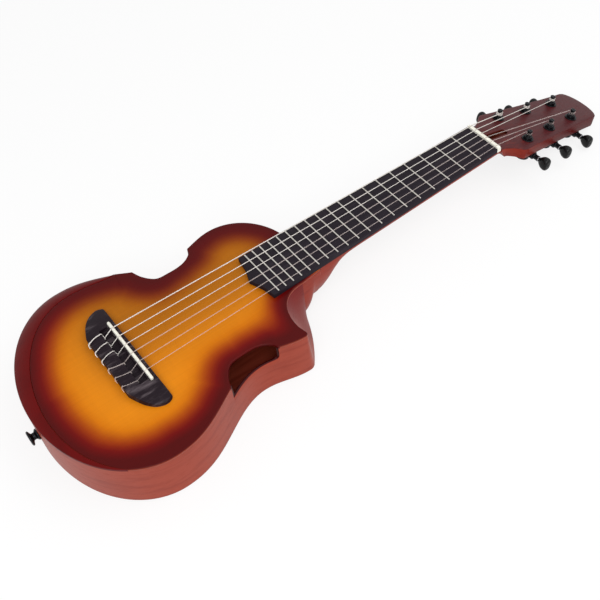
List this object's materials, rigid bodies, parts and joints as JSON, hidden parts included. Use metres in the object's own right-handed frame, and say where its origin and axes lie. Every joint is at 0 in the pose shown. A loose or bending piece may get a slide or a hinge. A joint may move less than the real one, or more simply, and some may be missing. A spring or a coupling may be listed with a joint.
{
  "type": "guitalele",
  "caption": "Small nylon-strung travel guitar with a cutaway body, an arm bevel, side sound ports, a tie bridge, a fretted neck and geared tuning machines.",
  "frame": {"origin": "on the back's flat face, right under the saddle's middle line", "axes": "+X along the neck from saddle to headstock, +Y to the bass side, +Z from the back to the top"},
  "size_m": [0.7088, 0.2275, 0.0695],
  "materials": {
    "sunburst_top": "amber to dark brown burst under satin varnish",
    "mahogany": "open-pored reddish brown, satin",
    "bevel_wood": "dark burst edge, satin",
    "inner_wood": "bare",
    "dark_wood": "dark, oiled",
    "bone": "ivory white, polished",
    "fret_metal": "polished nickel alloy",
    "black_metal": "black plated",
    "black_plastic": "black, semi-gloss",
    "nylon": "clear nylon",
    "wound_string": "silver-plated winding"
  },
  "bodies": {
    "instrument": {"top_plate": "sunburst_top", "back_plate": "mahogany", "bass_side": "mahogany", "treble_side": "mahogany", "arm_bevel": "bevel_wood", "neck_block": "inner_wood", "tail_block": "inner_wood", "top_brace": "inner_wood", "back_brace": "inner_wood", "bridge_plate": "inner_wood", "bridge": "dark_wood", "saddle": "bone", "neck": "mahogany", "fretboard": "dark_wood", "nut": "bone", "truss_rod": "fret_metal", "strap_button": "black_metal", "fret_01": "fret_metal", "fret_02": "fret_metal", "fret_03": "fret_metal", "fret_04": "fret_metal", "fret_05": "fret_metal", "fret_06": "fret_metal", "fret_07": "fret_metal", "fret_08": "fret_metal", "fret_09": "fret_metal", "fret_10": "fret_metal", "fret_11": "fret_metal", "fret_12": "fret_metal", "fret_13": "fret_metal", "fret_14": "fret_metal", "fret_15": "fret_metal", "fret_16": "fret_metal", "fret_17": "fret_metal", "fret_18": "fret_metal", "fret_19": "fret_metal", "string_1": "nylon", "string_2": "nylon", "string_3": "nylon", "string_4": "wound_string", "string_5": "wound_string", "string_6": "wound_string", "tuner_1_housing": "black_metal", "tuner_2_housing": "black_metal", "tuner_3_housing": "black_metal", "tuner_4_housing": "black_metal", "tuner_5_housing": "black_metal", "tuner_6_housing": "black_metal"},
    "key_1": {"tuner_1_key": "black_plastic"},
    "post_1": {"tuner_1_post": "black_metal"},
    "key_2": {"tuner_2_key": "black_plastic"},
    "post_2": {"tuner_2_post": "black_metal"},
    "key_3": {"tuner_3_key": "black_plastic"},
    "post_3": {"tuner_3_post": "black_metal"},
    "key_4": {"tuner_4_key": "black_plastic"},
    "post_4": {"tuner_4_post": "black_metal"},
    "key_5": {"tuner_5_key": "black_plastic"},
    "post_5": {"tuner_5_post": "black_metal"},
    "key_6": {"tuner_6_key": "black_plastic"},
    "post_6": {"tuner_6_post": "black_metal"}
  },
  "joints": [
    {"name": "key_1_turn", "type": "hinge", "parent": "instrument", "child": "key_1", "pos_m": [0.48273, -0.0225, 0.02935], "axis": [0, 1, 0], "continuous": true},
    {"name": "post_1_turn", "type": "hinge", "parent": "instrument", "child": "post_1", "pos_m": [0.47998, -0.0225, 0.04837], "axis": [0.2402, 0, 0.9707], "continuous": true},
    {"name": "key_2_turn", "type": "hinge", "parent": "instrument", "child": "key_2", "pos_m": [0.522, -0.0184, 0.01964], "axis": [0, 1, 0], "continuous": true},
    {"name": "post_2_turn", "type": "hinge", "parent": "instrument", "child": "post_2", "pos_m": [0.51925, -0.0184, 0.03866], "axis": [0.2402, 0, 0.9707], "continuous": true},
    {"name": "key_3_turn", "type": "hinge", "parent": "instrument", "child": "key_3", "pos_m": [0.56127, -0.0154, 0.00992], "axis": [0, 1, 0], "continuous": true},
    {"name": "post_3_turn", "type": "hinge", "parent": "instrument", "child": "post_3", "pos_m": [0.55851, -0.0154, 0.02894], "axis": [0.2402, 0, 0.9707], "continuous": true},
    {"name": "key_4_turn", "type": "hinge", "parent": "instrument", "child": "key_4", "pos_m": [0.56127, 0.0154, 0.00992], "axis": [0, 1, 0], "continuous": true},
    {"name": "post_4_turn", "type": "hinge", "parent": "instrument", "child": "post_4", "pos_m": [0.55851, 0.0154, 0.02894], "axis": [0.2402, 0, 0.9707], "continuous": true},
    {"name": "key_5_turn", "type": "hinge", "parent": "instrument", "child": "key_5", "pos_m": [0.522, 0.0184, 0.01964], "axis": [0, 1, 0], "continuous": true},
    {"name": "post_5_turn", "type": "hinge", "parent": "instrument", "child": "post_5", "pos_m": [0.51925, 0.0184, 0.03866], "axis": [0.2402, 0, 0.9707], "continuous": true},
    {"name": "key_6_turn", "type": "hinge", "parent": "instrument", "child": "key_6", "pos_m": [0.48273, 0.0225, 0.02935], "axis": [0, 1, 0], "continuous": true},
    {"name": "post_6_turn", "type": "hinge", "parent": "instrument", "child": "post_6", "pos_m": [0.47998, 0.0225, 0.04837], "axis": [0.2402, 0, 0.9707], "continuous": true}
  ],
  "couplings": [
    {"joint": "post_1_turn", "follows": "key_1_turn", "ratio": -0.071429},
    {"joint": "post_2_turn", "follows": "key_2_turn", "ratio": -0.071429},
    {"joint": "post_3_turn", "follows": "key_3_turn", "ratio": -0.071429},
    {"joint": "post_4_turn", "follows": "key_4_turn", "ratio": 0.071429},
    {"joint": "post_5_turn", "follows": "key_5_turn", "ratio": 0.071429},
    {"joint": "post_6_turn", "follows": "key_6_turn", "ratio": 0.071429}
  ]
}
